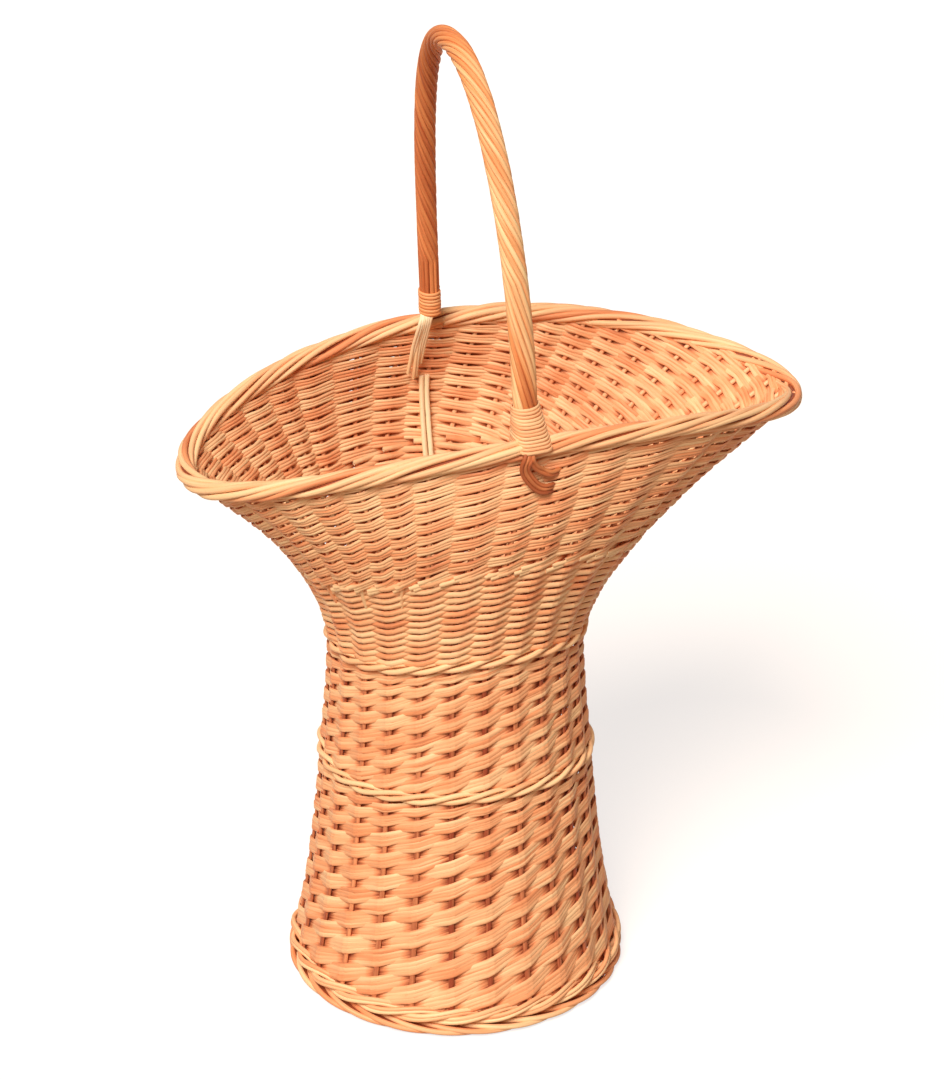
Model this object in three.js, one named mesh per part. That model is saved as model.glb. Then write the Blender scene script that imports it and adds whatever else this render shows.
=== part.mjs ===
// A tall willow market basket: a round foot, a waisted woven body, a boat-shaped mouth and a hoop handle.
// Millimetres, +Z up. The origin is on the floor under the middle of the mouth, whose long side runs along X.
import * as THREE from 'three';

// Rods
const stakeCount = 25;
const stakeRadius = 2.4;
const stakeSides = 4;
const ribbonThickness = 2.8;
const waleRadius = 2.6;
const footWaleRadius = 3.2;
const rimRadius = 2.9;
const rimSpread = 4.6;
const rodSides = 4;

// Gaps between pieces that touch
const clearance = 0.35;
const weaveClearance = 0.6;
const rowGap = 0.5;
const endGap = 1.2;

// The wall that the stakes stand in: the rise of each stretch above the one below it, measured at the
// handle's sides, and half widths along X and Y
const skirtHeight = 90;
const lowerWaleRise = 94;
const waistRise = 78;
const upperWaleRise = 26;
const neckRise = 12;
const shoulderRise = 45;
const flareStartRise = 12;
const flareRise = 43;
const rimRise = 55;
const footRadius = 118.5;
const skirtRadius = 104.2;
const lowerWaleRadius = 95.2;
const waistRadius = 89.4;
const neckRadius = 91.2;
const shoulderLong = 111;
const shoulderShort = 99;
const flareLong = 155;
const flareShort = 109.5;
const rimLong = 219;
const rimShort = 107.5;

// The mouth dips at its two long ends, and leans over the foot towards +X
const endDip = 36;
const dipGrowth = 1.4;
const mouthShift = 29;
const shiftGrowth = 1.5;
const fanning = 0.5;

// Foot and base
const footBorderHeight = 9;
const footBorderWidth = 24;
const footBorderOverhang = 5;
const footBorderBulge = 4;
const footBorderBevel = 4;
const footBorderRound = 2.5;
const footBorderLobe = 1.4;
const baseStickRadius = 3;
const baseStickSides = 6;
const baseStickSpacing = 15;
const baseThickness = 4;
const baseCrown = 5;
const baseRound = 1;

// Turns of each woven band, the rod lengths that make it, and the stakes that each end tapers over
const lowerTurnCount = 12;
const lowerLengthCount = 3;
const middleTurnCount = 8;
const middleLengthCount = 2;
const neckTurnCount = 4;
const flareTurnCount = 5;
const flareLengthCount = 2;
const taperStakeCount = 4;

// Handle
const bowRadius = 4.6;
const bowSides = 6;
const bowTuck = 60;
const handleRise = 250;
const handleSquareness = 2.32;
const handleShift = -13.5;
const handleLean = -18;
const leanGrowth = 1.5;
const handleRodCount = 6;
const handleRodRadius = 1.95;
const handleRodTurnCount = 3.5;
const handleRodStepCount = 10;
const bindingRadius = 1.4;
const bindingPitch = 3.4;
const bindingLoopCount = 10;
const bindingStepCount = 9;

// Colours of peeled willow, from pale weavers to browner rods
const paleWillow = 0xe9b478;
const warmWillow = 0xdd9a5c;
const brownWillow = 0xb87440;
const rodRoughness = 0.55;
const weaveRoughness = 0.6;

const basket = new THREE.Group();

function addPiece(name, geometry, color, roughness) {
  const material = new THREE.MeshStandardMaterial({ color, roughness, metalness: 0 });
  const mesh = new THREE.Mesh(geometry, material);
  mesh.name = name;
  basket.add(mesh);
}

// One closed skin over a row of rings that all have the same number of corners
function loft(rings, joined) {
  const corners = rings[0].length;
  const spans = joined ? rings.length : rings.length - 1;
  const index = [];
  for (let i = 0; i < spans; i += 1) {
    const near = i * corners;
    const far = ((i + 1) % rings.length) * corners;
    for (let k = 0; k < corners; k += 1) {
      const next = (k + 1) % corners;
      index.push(near + k, near + next, far + k, near + next, far + next, far + k);
    }
  }
  if (!joined) {
    const last = spans * corners;
    for (let k = 1; k < corners - 1; k += 1) {
      index.push(0, k + 1, k, last, last + k, last + k + 1);
    }
  }
  const geometry = new THREE.BufferGeometry();
  const places = rings.flat().flatMap((corner) => [corner.x, corner.y, corner.z]);
  geometry.setAttribute('position', new THREE.Float32BufferAttribute(places, 3));
  geometry.setIndex(index);
  geometry.computeVertexNormals();
  return geometry;
}

// A rod along path points; each point carries the direction that its section faces
function rod(path, radius, sides) {
  const rings = path.map(({ point, facing }, i) => {
    const before = path[Math.max(i - 1, 0)].point;
    const after = path[Math.min(i + 1, path.length - 1)].point;
    const along = after.clone().sub(before).normalize();
    const out = facing.clone().addScaledVector(along, -facing.dot(along)).normalize();
    const side = along.clone().cross(out);
    return Array.from({ length: sides }, (_, k) => {
      const turn = (2 * Math.PI * (k + 0.5)) / sides;
      const corner = point.clone().addScaledVector(out, radius * Math.cos(turn));
      return corner.addScaledVector(side, radius * Math.sin(turn));
    });
  });
  return loft(rings, false);
}

// From a rod's middle to the flat that faces out or in
function flatReach(radius, sides) {
  return radius * Math.cos(Math.PI / sides);
}

// Three rods twisted like a rope: each passes in front of two stakes and behind one, so the stakes
// stand a quarter of the rope's depth inside its middle
const ropeStakeShare = 0.25;
const waleSteps = 2;
const rimSteps = 3;

function ropeSize(radius) {
  const depth = (radius + stakeRadius + weaveClearance) / (1 - ropeStakeShare);
  return { radius, depth, spread: (2 * radius + weaveClearance) / Math.sqrt(3), steps: waleSteps };
}
const footRope = ropeSize(footWaleRadius);
const waleRope = ropeSize(waleRadius);
const rimRope = { ...ropeSize(rimRadius), spread: rimSpread, steps: rimSteps };

function ropeHalf(rope) {
  return rope.spread + rope.radius;
}

function ropeInside(rope) {
  return (1 - ropeStakeShare) * rope.depth + rope.radius;
}

const footRopeHeight = footBorderHeight + clearance + ropeHalf(footRope);
const footTop = footRopeHeight + ropeHalf(footRope);

// The wall's two outlines, each a smooth curve through its few named points
const lowerWaleHeight = skirtHeight + lowerWaleRise;
const waistHeight = lowerWaleHeight + waistRise;
const upperWaleHeight = waistHeight + upperWaleRise;
const neckHeight = upperWaleHeight + neckRise;
const shoulderHeight = neckHeight + shoulderRise;
const flareStart = shoulderHeight + flareStartRise;
const flareHeight = flareStart + flareRise;
const rimHeight = flareHeight + rimRise;

const longOutline = [
  [0, footRadius],
  [skirtHeight, skirtRadius],
  [lowerWaleHeight, lowerWaleRadius],
  [waistHeight, waistRadius],
  [neckHeight, neckRadius],
  [shoulderHeight, shoulderLong],
  [flareHeight, flareLong],
  [rimHeight, rimLong],
];
const shortOutline = [
  ...longOutline.slice(0, 5),
  [shoulderHeight, shoulderShort],
  [flareHeight, flareShort],
  [rimHeight, rimShort],
];

function slopeAt(outline, i) {
  const [lowHeight, lowRadius] = outline[Math.max(i - 1, 0)];
  const [highHeight, highRadius] = outline[Math.min(i + 1, outline.length - 1)];
  return (highRadius - lowRadius) / (highHeight - lowHeight);
}

function outlineAt(outline, height) {
  let i = 0;
  while (i < outline.length - 2 && height > outline[i + 1][0]) {
    i += 1;
  }
  const [h0, r0] = outline[i];
  const [h1, r1] = outline[i + 1];
  const span = h1 - h0;
  const u = (height - h0) / span;
  if (u > 1) {
    return r1 + slopeAt(outline, i + 1) * (height - h1);
  }
  const bend0 = slopeAt(outline, i) * span;
  const bend1 = slopeAt(outline, i + 1) * span;
  const start = (1 + 2 * u) * (1 - u) ** 2 * r0 + u * (1 - u) ** 2 * bend0;
  return start + u * u * (3 - 2 * u) * r1 + u * u * (u - 1) * bend1;
}

function smoothWall(angle, height) {
  const flare = Math.max(0, (height - upperWaleHeight) / (rimHeight - upperWaleHeight));
  const turn = angle + 0.5 * fanning * flare * Math.sin(2 * angle);
  const dip = endDip * Math.max(0, (height - footTop) / (rimHeight - footTop)) ** dipGrowth;
  const x = mouthShift * (flare ** shiftGrowth - 1) + outlineAt(longOutline, height) * Math.cos(turn);
  const y = outlineAt(shortOutline, height) * Math.sin(turn);
  return new THREE.Vector3(x, y, height - dip * Math.cos(turn) ** 2);
}

// Stakes bend at these heights and run straight between them
const stationsPerStretch = [1, 1, 1, 1, 2, 2, 2];
const stations = [0];
for (let i = 1; i < longOutline.length; i += 1) {
  const low = longOutline[i - 1][0];
  const high = longOutline[i][0];
  for (let k = 1; k <= stationsPerStretch[i - 1]; k += 1) {
    stations.push(low + ((high - low) * k) / stationsPerStretch[i - 1]);
  }
}

function wallPoint(angle, height) {
  let i = 0;
  while (i < stations.length - 2 && height > stations[i + 1]) {
    i += 1;
  }
  const share = (height - stations[i]) / (stations[i + 1] - stations[i]);
  return smoothWall(angle, stations[i]).lerp(smoothWall(angle, stations[i + 1]), share);
}

function wallRise(angle, height) {
  const step = 4;
  return smoothWall(angle, height + step).sub(smoothWall(angle, height - step)).normalize();
}

function wallNormal(angle, height) {
  const step = 0.02;
  const round = smoothWall(angle + step, height).sub(smoothWall(angle - step, height));
  return round.cross(wallRise(angle, height)).normalize();
}

// The first stake stands half a space from the handle's front leg; rods and ribbons start at the back
const stakeSpacing = (2 * Math.PI) / stakeCount;
const frontAngle = -Math.PI / 2;
const seamPlace = Math.ceil(stakeCount / 2);

function stakeAngle(place) {
  return frontAngle + (place + 0.5) * stakeSpacing;
}

// How far a ribbon swings from the stakes to pass them, at the waist where they stand closest
function findSwing() {
  const space = 2 * waistRadius * Math.sin(stakeSpacing / 2);
  const bend = waistRadius * (1 - Math.cos(stakeSpacing));
  const reach = stakeRadius + weaveClearance;
  let swing = reach + ribbonThickness / 2;
  for (let i = 0; i < 20; i += 1) {
    const slope = Math.atan((2 * swing + bend) / space);
    swing = reach / Math.cos(slope) + ribbonThickness / 2;
  }
  return swing;
}
const ribbonSwing = findSwing();

function ropePoint(rope, height, place, strand) {
  const angle = stakeAngle(place);
  const twist = Math.PI + (2 * Math.PI * (place + strand)) / 3;
  const out = rope.depth * (ropeStakeShare + Math.cos(twist));
  const normal = wallNormal(angle, height);
  const point = wallPoint(angle, height).addScaledVector(normal, out);
  point.addScaledVector(wallRise(angle, height), rope.spread * Math.sin(twist));
  return { point, facing: normal };
}

function addRope(name, rope, height, color) {
  const spacing = 2 * waistRadius * Math.sin(stakeSpacing / 2);
  const lastPlace = stakeCount - (2 * rope.radius + endGap) / spacing;
  for (let strand = 0; strand < 3; strand += 1) {
    const path = [];
    for (let i = 0; i + 0.5 < lastPlace * rope.steps; i += 1) {
      path.push(ropePoint(rope, height, seamPlace + i / rope.steps, strand));
    }
    path.push(ropePoint(rope, height, seamPlace + lastPlace, strand));
    addPiece(`${name}_${strand + 1}`, rod(path, rope.radius, rodSides), color, rodRoughness);
  }
}

// A woven band: a flat ribbon that spirals up, outside one stake and inside the next, tapered at both ends
function bandEdge(band, turn) {
  const share = THREE.MathUtils.clamp((turn - 1) / (band.turns - 1), 0, 1);
  return band.bottom + (band.top - band.bottom) * share;
}

function ribbonRing(band, place) {
  const angle = stakeAngle(seamPlace + place);
  const side = Math.cos(Math.PI * (place + 1));
  const corners = [];
  for (const [edge, out] of [[0, -1], [1, -1], [1, 1], [0, 1]]) {
    const height = bandEdge(band, place / stakeCount + edge) + (0.5 - edge) * rowGap;
    const offset = side * ribbonSwing + (out * ribbonThickness) / 2;
    corners.push(wallPoint(angle, height).addScaledVector(wallNormal(angle, height), offset));
  }
  return corners;
}

function addBand(name, band, color) {
  const places = band.turns * stakeCount;
  const each = Math.round((places - 2 * taperStakeCount) / band.lengths / 2) * 2;
  for (let length = 0; length < band.lengths; length += 1) {
    const first = taperStakeCount + length * each;
    const last = length === band.lengths - 1 ? places - taperStakeCount : first + each;
    const rings = [];
    for (let place = first; place < last; place += band.step) {
      rings.push(ribbonRing(band, place));
    }
    rings.push(ribbonRing(band, last));
    if (length > 0) {
      const shift = rings[1][0].clone().sub(rings[0][0]).setLength(endGap);
      rings[0].forEach((corner) => corner.add(shift));
    }
    const label = band.lengths === 1 ? name : `${name}_${length + 1}`;
    addPiece(label, loft(rings, false), color, weaveRoughness);
  }
}

// Foot border: a thick ring with a flat underside, swelling between the stakes
function addFootBorder() {
  const outer = footRadius + footBorderOverhang;
  const inner = outer - footBorderWidth;
  const rings = [];
  for (let i = 0; i < 2 * stakeCount; i += 1) {
    const angle = stakeAngle(i / 2);
    const swell = i % 2 === 0 ? 0 : footBorderLobe;
    const section = [
      [inner + footBorderBevel, 0],
      [outer - footBorderBevel, 0],
      [outer + swell, footBorderBulge],
      [outer - footBorderRound, footBorderHeight],
      [inner + footBorderRound, footBorderHeight],
      [inner - swell, footBorderBulge],
    ];
    rings.push(section.map(([radius, height]) => new THREE.Vector3(
      radius * Math.cos(angle) - mouthShift,
      radius * Math.sin(angle),
      height,
    )));
  }
  addPiece('foot_border', loft(rings.reverse(), true), brownWillow, weaveRoughness);
}

// Base: two pairs of crossed sticks, whose ends lie on the foot border, with a crowned woven disc on them
function addBase() {
  const inside = wallPoint(0, footRopeHeight).x + mouthShift - ropeInside(footRope);
  const discRadius = inside - clearance;
  const reach = Math.sqrt(discRadius ** 2 - (baseStickSpacing / 2 + baseStickRadius) ** 2);
  const stickHalf = flatReach(baseStickRadius, baseStickSides);
  const lowerLayer = footBorderHeight + clearance + stickHalf;
  const upperLayer = lowerLayer + 2 * stickHalf + clearance;
  const up = new THREE.Vector3(0, 0, 1);
  let number = 1;
  for (const across of [-1, 1]) {
    for (const layer of [lowerLayer, upperLayer]) {
      const path = [-reach, reach].map((end) => {
        const offset = (across * baseStickSpacing) / 2;
        const x = layer === lowerLayer ? end : offset;
        const y = layer === lowerLayer ? offset : end;
        return { point: new THREE.Vector3(x - mouthShift, y, layer), facing: up };
      });
      addPiece(`base_stick_${number}`, rod(path, baseStickRadius, baseStickSides), brownWillow, rodRoughness);
      number += 1;
    }
  }
  const floor = upperLayer + stickHalf + clearance;
  const outline = [
    new THREE.Vector2(0, floor),
    new THREE.Vector2(discRadius - baseRound, floor),
    new THREE.Vector2(discRadius, floor + baseThickness / 2),
    new THREE.Vector2(discRadius - baseRound, floor + baseThickness),
    new THREE.Vector2(discRadius / 2, floor + baseThickness + baseCrown * 0.75),
    new THREE.Vector2(0, floor + baseThickness + baseCrown),
  ];
  const disc = new THREE.LatheGeometry(outline, stakeCount);
  disc.rotateX(Math.PI / 2);
  disc.translate(-mouthShift, 0, 0);
  addPiece('base_weave', disc, paleWillow, weaveRoughness);
}

// Stakes stand on the foot border and end inside the rim's border
function addStakes() {
  const bottom = footBorderHeight + 2 * clearance;
  const top = rimHeight + rimRope.spread;
  const heights = [bottom, ...stations.filter((height) => height > bottom && height < top), top];
  for (let stake = 0; stake < stakeCount; stake += 1) {
    const angle = stakeAngle(stake);
    const path = heights.map((height) => ({
      point: wallPoint(angle, height),
      facing: wallNormal(angle, height),
    }));
    const number = String(stake + 1).padStart(2, '0');
    addPiece(`stake_${number}`, rod(path, stakeRadius, stakeSides), warmWillow, rodRoughness);
  }
}

// Handle: a bent bow whose legs go down inside the border, with rods twisted round it and bound at both feet
const rimTop = rimHeight + ropeHalf(rimRope);
const handleHalf = rimShort - ropeInside(rimRope) - clearance - bowRadius;

function archPoint(share) {
  const across = Math.cos(Math.PI * share);
  const lift = Math.sin(Math.PI * share) ** (2 / handleSquareness);
  const y = -handleHalf * Math.sign(across) * Math.abs(across) ** (2 / handleSquareness);
  return new THREE.Vector3(handleShift + handleLean * lift ** leanGrowth, y, rimHeight + handleRise * lift);
}

function handleCurve() {
  const archSteps = 28;
  const points = [];
  for (const drop of [bowTuck, bowTuck / 2]) {
    points.push(new THREE.Vector3(handleShift, -handleHalf, rimHeight - drop));
  }
  for (let i = 0; i <= archSteps; i += 1) {
    points.push(archPoint(i / archSteps));
  }
  for (const drop of [bowTuck / 2, bowTuck]) {
    points.push(new THREE.Vector3(handleShift, handleHalf, rimHeight - drop));
  }
  return new THREE.CatmullRomCurve3(points, false, 'centripetal');
}
const curve = handleCurve();
const curveLength = curve.getLength();

function aroundHandle(distance, turn, radius) {
  const share = Math.min(distance / curveLength, 1);
  const along = curve.getTangentAt(share);
  const sideways = new THREE.Vector3(1, 0, 0).addScaledVector(along, -along.x).normalize();
  const upward = along.clone().cross(sideways);
  const facing = sideways.multiplyScalar(Math.cos(turn)).addScaledVector(upward, Math.sin(turn));
  return { point: curve.getPointAt(share).addScaledVector(facing, radius), facing };
}

const wrapStart = bowTuck + (rimTop - rimHeight) + clearance;
const wrapEnd = curveLength - wrapStart;
const handleRodReach = (bowRadius + weaveClearance + handleRodRadius) / Math.cos(Math.PI / handleRodStepCount);

function addHandle() {
  const bowSteps = 50;
  const bowPath = [];
  for (let i = 0; i <= bowSteps; i += 1) {
    const { point, facing } = aroundHandle((curveLength * i) / bowSteps, 0, 0);
    bowPath.push({ point, facing });
  }
  addPiece('handle_bow', rod(bowPath, bowRadius, bowSides), brownWillow, rodRoughness);
  const steps = handleRodTurnCount * handleRodStepCount;
  for (let number = 0; number < handleRodCount; number += 1) {
    const path = [];
    for (let i = 0; i <= steps; i += 1) {
      const turn = -2 * Math.PI * ((handleRodTurnCount * i) / steps + number / handleRodCount);
      path.push(aroundHandle(wrapStart + ((wrapEnd - wrapStart) * i) / steps, turn, handleRodReach));
    }
    addPiece(`handle_rod_${number + 1}`, rod(path, handleRodRadius, rodSides), warmWillow, rodRoughness);
  }
}

// Bindings: one thin unbroken strand wound round each foot of the handle
function addBinding(name, middle) {
  const rodFlat = flatReach(handleRodRadius, rodSides);
  const rodHalfFlat = handleRodRadius * Math.sin(Math.PI / rodSides);
  const wrapped = Math.hypot(handleRodReach + rodFlat, rodHalfFlat) + clearance;
  const reach = wrapped / Math.cos(Math.PI / bindingStepCount) + flatReach(bindingRadius, rodSides);
  const steps = bindingLoopCount * bindingStepCount;
  const path = [];
  for (let i = 0; i <= steps; i += 1) {
    const distance = middle + bindingPitch * (i / bindingStepCount - bindingLoopCount / 2);
    path.push(aroundHandle(distance, (2 * Math.PI * i) / bindingStepCount, reach));
  }
  let least = Infinity;
  const halfLoop = Math.ceil(bindingStepCount / 2);
  for (let i = 0; i < path.length; i += 1) {
    for (let k = i + halfLoop; k < path.length; k += 1) {
      least = Math.min(least, path[i].point.distanceTo(path[k].point) - 2 * bindingRadius);
    }
  }
  console.log(`${name}: ${bindingLoopCount} loops, least gap to itself ${least.toFixed(2)} mm`);
  addPiece(name, rod(path, bindingRadius, rodSides), paleWillow, rodRoughness);
}

addFootBorder();
addBase();
addStakes();
addRope('foot_wale_rod', footRope, footRopeHeight, warmWillow);
addBand('lower_slew', {
  bottom: footTop,
  top: lowerWaleHeight - ropeHalf(waleRope),
  turns: lowerTurnCount,
  lengths: lowerLengthCount,
  step: 1,
}, paleWillow);
addRope('lower_wale_rod', waleRope, lowerWaleHeight, warmWillow);
addBand('middle_slew', {
  bottom: lowerWaleHeight + ropeHalf(waleRope),
  top: upperWaleHeight - ropeHalf(waleRope),
  turns: middleTurnCount,
  lengths: middleLengthCount,
  step: 1,
}, paleWillow);
addRope('upper_wale_rod', waleRope, upperWaleHeight, warmWillow);
addBand('neck_weave', {
  bottom: upperWaleHeight + ropeHalf(waleRope),
  top: flareStart,
  turns: neckTurnCount,
  lengths: 1,
  step: 1,
}, warmWillow);
addBand('flare_weave', {
  bottom: flareStart,
  top: rimHeight - ropeHalf(rimRope),
  turns: flareTurnCount,
  lengths: flareLengthCount,
  step: 0.5,
}, paleWillow);
addRope('rim_border_rod', rimRope, rimHeight, paleWillow);
addHandle();
const bindingMiddle = wrapStart + bindingRadius + (bindingPitch * bindingLoopCount) / 2;
addBinding('front_binding', bindingMiddle);
addBinding('back_binding', curveLength - bindingMiddle);

export default basket;
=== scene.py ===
import math

import bpy
import numpy as np
from mathutils import Matrix, Vector


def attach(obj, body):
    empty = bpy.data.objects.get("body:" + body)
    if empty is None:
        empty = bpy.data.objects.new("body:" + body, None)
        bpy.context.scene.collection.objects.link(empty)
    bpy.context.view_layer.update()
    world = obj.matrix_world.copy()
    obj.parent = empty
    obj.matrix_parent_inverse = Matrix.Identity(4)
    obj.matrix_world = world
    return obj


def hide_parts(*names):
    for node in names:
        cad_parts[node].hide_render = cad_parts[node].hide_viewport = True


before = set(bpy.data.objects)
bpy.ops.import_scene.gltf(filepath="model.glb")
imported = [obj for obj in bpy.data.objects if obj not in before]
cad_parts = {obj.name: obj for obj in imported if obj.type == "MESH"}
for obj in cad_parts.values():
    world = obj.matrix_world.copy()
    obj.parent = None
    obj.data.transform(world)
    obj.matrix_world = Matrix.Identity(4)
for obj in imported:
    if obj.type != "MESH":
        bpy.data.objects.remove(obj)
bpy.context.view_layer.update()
bpy.ops.object.select_all(action="DESELECT")
rng = np.random.default_rng(25)
mm = 0.001  # the basket's sizes are in millimetres, and its meshes are made in metres
turn = 2 * math.pi

# The wall that every rod follows: its outline along and across the mouth, as height and radius
bodyOutline = [(0, 118.5), (90, 104.2), (184, 95.2), (262, 89.4), (300, 91.2)]
wall = {
    "stakes": 25,
    "stakeSpace": 25.0,  # roughly, from one stake to the next
    "long": bodyOutline + [(345, 111), (400, 155), (455, 219)],
    "short": bodyOutline + [(345, 99), (400, 109.5), (455, 107.5)],
    "footTop": 23.3,
    "flareFrom": 288,
    "rim": 455,
    "endDip": 36,  # the mouth is this much lower at its two ends
    "dipGrowth": 1.4,
    "mouthShift": 29,  # the foot stands this far off the mouth's middle
    "shiftGrowth": 1.5,
    "fanning": 0.5,  # turns the stakes towards the middle of the long sides as the mouth opens
    "nearUp": 3,  # how far off its slope is measured
    "nearRound": 0.02,
}


def unit(v):
    return v / np.maximum(np.linalg.norm(v, axis=-1, keepdims=True), 1e-9)


def shareOf(value, start, end):
    return np.clip((value - start) / (end - start), 0, 1)


def partWay(start, end, share):
    return start + (end - start) * share


def eased(share):
    return share * share * (3 - 2 * share)


def lengthAlong(path):
    return np.concatenate([[0], np.cumsum(np.linalg.norm(np.diff(path, axis=0), axis=1))])


def outlineAt(points, height):  # a smooth curve through the points, straight on above the last one
    knots, radii = np.array(points, float).T
    slopes = np.gradient(radii, knots)
    slopes[1:-1] = (radii[2:] - radii[:-2]) / (knots[2:] - knots[:-2])
    i = np.clip(np.searchsorted(knots, height, side="right") - 1, 0, len(knots) - 2)
    span = knots[i + 1] - knots[i]
    u = (height - knots[i]) / span
    inside = np.clip(u, 0, 1)
    away = 1 - inside
    radius = (1 + 2 * inside) * away**2 * radii[i] + inside * away**2 * slopes[i] * span
    radius += inside**2 * (3 - 2 * inside) * radii[i + 1] - inside**2 * away * slopes[i + 1] * span
    return radius + np.maximum(u - 1, 0) * span * slopes[i + 1]


def wallAt(angle, height):
    angle, height = np.broadcast_arrays(np.asarray(angle, float), np.asarray(height, float))
    flare = np.maximum(0, (height - wall["flareFrom"]) / (wall["rim"] - wall["flareFrom"]))
    fanned = angle + 0.5 * wall["fanning"] * flare * np.sin(2 * angle)
    climb = np.maximum(0, (height - wall["footTop"]) / (wall["rim"] - wall["footTop"]))
    dip = wall["endDip"] * climb ** wall["dipGrowth"]
    shift = wall["mouthShift"] * (flare ** wall["shiftGrowth"] - 1)
    x = shift + outlineAt(wall["long"], height) * np.cos(fanned)
    y = outlineAt(wall["short"], height) * np.sin(fanned)
    return np.stack([x, y, height - dip * np.cos(fanned) ** 2], axis=-1)


def wallFrame(angle, height):  # a point of the wall, the way out of it and the way up it
    nearUp, nearRound = wall["nearUp"], wall["nearRound"]
    up = unit(wallAt(angle, height + nearUp) - wallAt(angle, height - nearUp))
    across = wallAt(angle + nearRound, height) - wallAt(angle - nearRound, height)
    return wallAt(angle, height), unit(np.cross(across, up)), up


def stakeAngle(place):
    return -math.pi / 2 + (place + 0.5) * turn / wall["stakes"]


# Materials: peeled willow in several shades, and the pale cut ends
willow = {
    # a rod's tone runs from Light through Mid to Deep; the pale willow's Deep is mostly reached through the
    # painted shade of slots and stakes
    "paleWillow": {"Light": (250, 203, 149), "Mid": (238, 151, 98), "Deep": (150, 64, 34)},
    "warmWillow": {"Light": (250, 201, 147), "Mid": (236, 149, 96), "Deep": (160, 72, 38)},
    "freshWillow": {"Light": (255, 234, 190), "Mid": (248, 204, 148), "Deep": (226, 158, 102)},
    "brownWillow": {"Light": (226, 148, 90), "Mid": (192, 102, 56), "Deep": (140, 64, 32)},
    "handleWillow": {"Light": (252, 214, 156), "Mid": (236, 150, 88), "Deep": (178, 82, 42)},
}
skin = {
    "streak": (1.3, 0.03, 3),  # noise across the rod, along it, and its detail
    "blotch": (0.25, 0.018, 2),
    "fleck": (1.6, 0.5, 2),
    "blotchShade": 0.7,
    "streakShade": 0.5,
    "fleckFrom": 0.62,
    "fleckGain": 2.2,
    "fleckColor": (196, 128, 82),
    "fleckHeight": 0.4,
    "smoothest": 0.46,
    "streakRoughness": 0.22,
    "bumpStrength": 0.25,
    "bumpDistance": 0.0003,
    "specular": 0.3,
}
cutEnds = {"pith": (250, 226, 184), "ring": (214, 160, 104), "grainScale": 900, "ringAt": 0.3,
           "pithAt": 0.6, "roughness": 0.7}
mixSockets = {"a": 6, "b": 7, "result": 2}  # where a Mix node has its colours


def toLinear(color):  # from a screen colour, 0 to 255
    channels = [c / 255 for c in color]
    return [c / 12.92 if c <= 0.04045 else ((c + 0.055) / 1.055) ** 2.4 for c in channels] + [1.0]


def feed(tree, socket, value):
    if isinstance(value, bpy.types.NodeSocket):
        tree.links.new(value, socket)
    else:
        socket.default_value = value


def addMath(tree, operation, a, b, clamp=False):
    node = tree.nodes.new("ShaderNodeMath")
    node.operation = operation
    node.use_clamp = clamp
    feed(tree, node.inputs[0], a)
    feed(tree, node.inputs[1], b)
    return node.outputs[0]


def addMix(tree, blend, factor, a, b):
    node = tree.nodes.new("ShaderNodeMix")
    node.data_type = "RGBA"
    node.blend_type = blend
    feed(tree, node.inputs[0], factor)
    feed(tree, node.inputs[mixSockets["a"]], a)
    feed(tree, node.inputs[mixSockets["b"]], b)
    return node.outputs[mixSockets["result"]]


def newMaterial(name):
    material = bpy.data.materials.new(name)
    material.use_nodes = True
    return material, material.node_tree, material.node_tree.nodes["Principled BSDF"]


def makeSkinGroup():
    group = bpy.data.node_groups.new("peeledRodSkin", "ShaderNodeTree")
    for name in ("Light", "Mid", "Deep"):
        group.interface.new_socket(name, in_out="INPUT", socket_type="NodeSocketColor")
    for name, kind in (("Color", "Color"), ("Roughness", "Float"), ("Height", "Float")):
        group.interface.new_socket(name, in_out="OUTPUT", socket_type="NodeSocket" + kind)
    shades = group.nodes.new("NodeGroupInput").outputs
    results = group.nodes.new("NodeGroupOutput").inputs
    straight = group.nodes.new("ShaderNodeAttribute")  # the place on the rod as if it were straightened
    straight.attribute_name = "straightRod"
    tone = group.nodes.new("ShaderNodeAttribute")  # how dark this rod is
    tone.attribute_name = "rodTone"

    def noise(across, along, detail):
        stretch = group.nodes.new("ShaderNodeMapping")
        stretch.inputs["Scale"].default_value = (across, across, along)
        group.links.new(straight.outputs["Vector"], stretch.inputs["Vector"])
        node = group.nodes.new("ShaderNodeTexNoise")
        node.inputs["Scale"].default_value = 1.0
        node.inputs["Detail"].default_value = detail
        group.links.new(stretch.outputs["Vector"], node.inputs["Vector"])
        return node.outputs["Fac"]

    def aboutZero(pattern, size):
        return addMath(group, "MULTIPLY", addMath(group, "SUBTRACT", pattern, 0.5), size)

    streak, blotch, fleck = (noise(*skin[name]) for name in ("streak", "blotch", "fleck"))
    shade = addMath(group, "ADD", tone.outputs["Fac"], aboutZero(blotch, skin["blotchShade"]))
    shade = addMath(group, "ADD", shade, aboutZero(streak, skin["streakShade"]))
    toMid = addMath(group, "MULTIPLY", shade, 2.0, True)  # light at 0, mid at a half, deep at 1
    toDeep = addMath(group, "SUBTRACT", addMath(group, "MULTIPLY", shade, 2.0), 1.0, True)
    color = addMix(group, "MIX", toMid, shades["Light"], shades["Mid"])
    color = addMix(group, "MIX", toDeep, color, shades["Deep"])
    spots = addMath(group, "SUBTRACT", fleck, skin["fleckFrom"], True)
    spots = addMath(group, "MULTIPLY", spots, skin["fleckGain"], True)
    color = addMix(group, "MULTIPLY", spots, color, toLinear(skin["fleckColor"]))
    roughness = addMath(group, "MULTIPLY", streak, skin["streakRoughness"])
    relief = addMath(group, "MULTIPLY", fleck, skin["fleckHeight"])
    feed(group, results["Color"], color)
    feed(group, results["Roughness"], addMath(group, "ADD", roughness, skin["smoothest"]))
    feed(group, results["Height"], addMath(group, "ADD", streak, relief))
    return group


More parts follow.
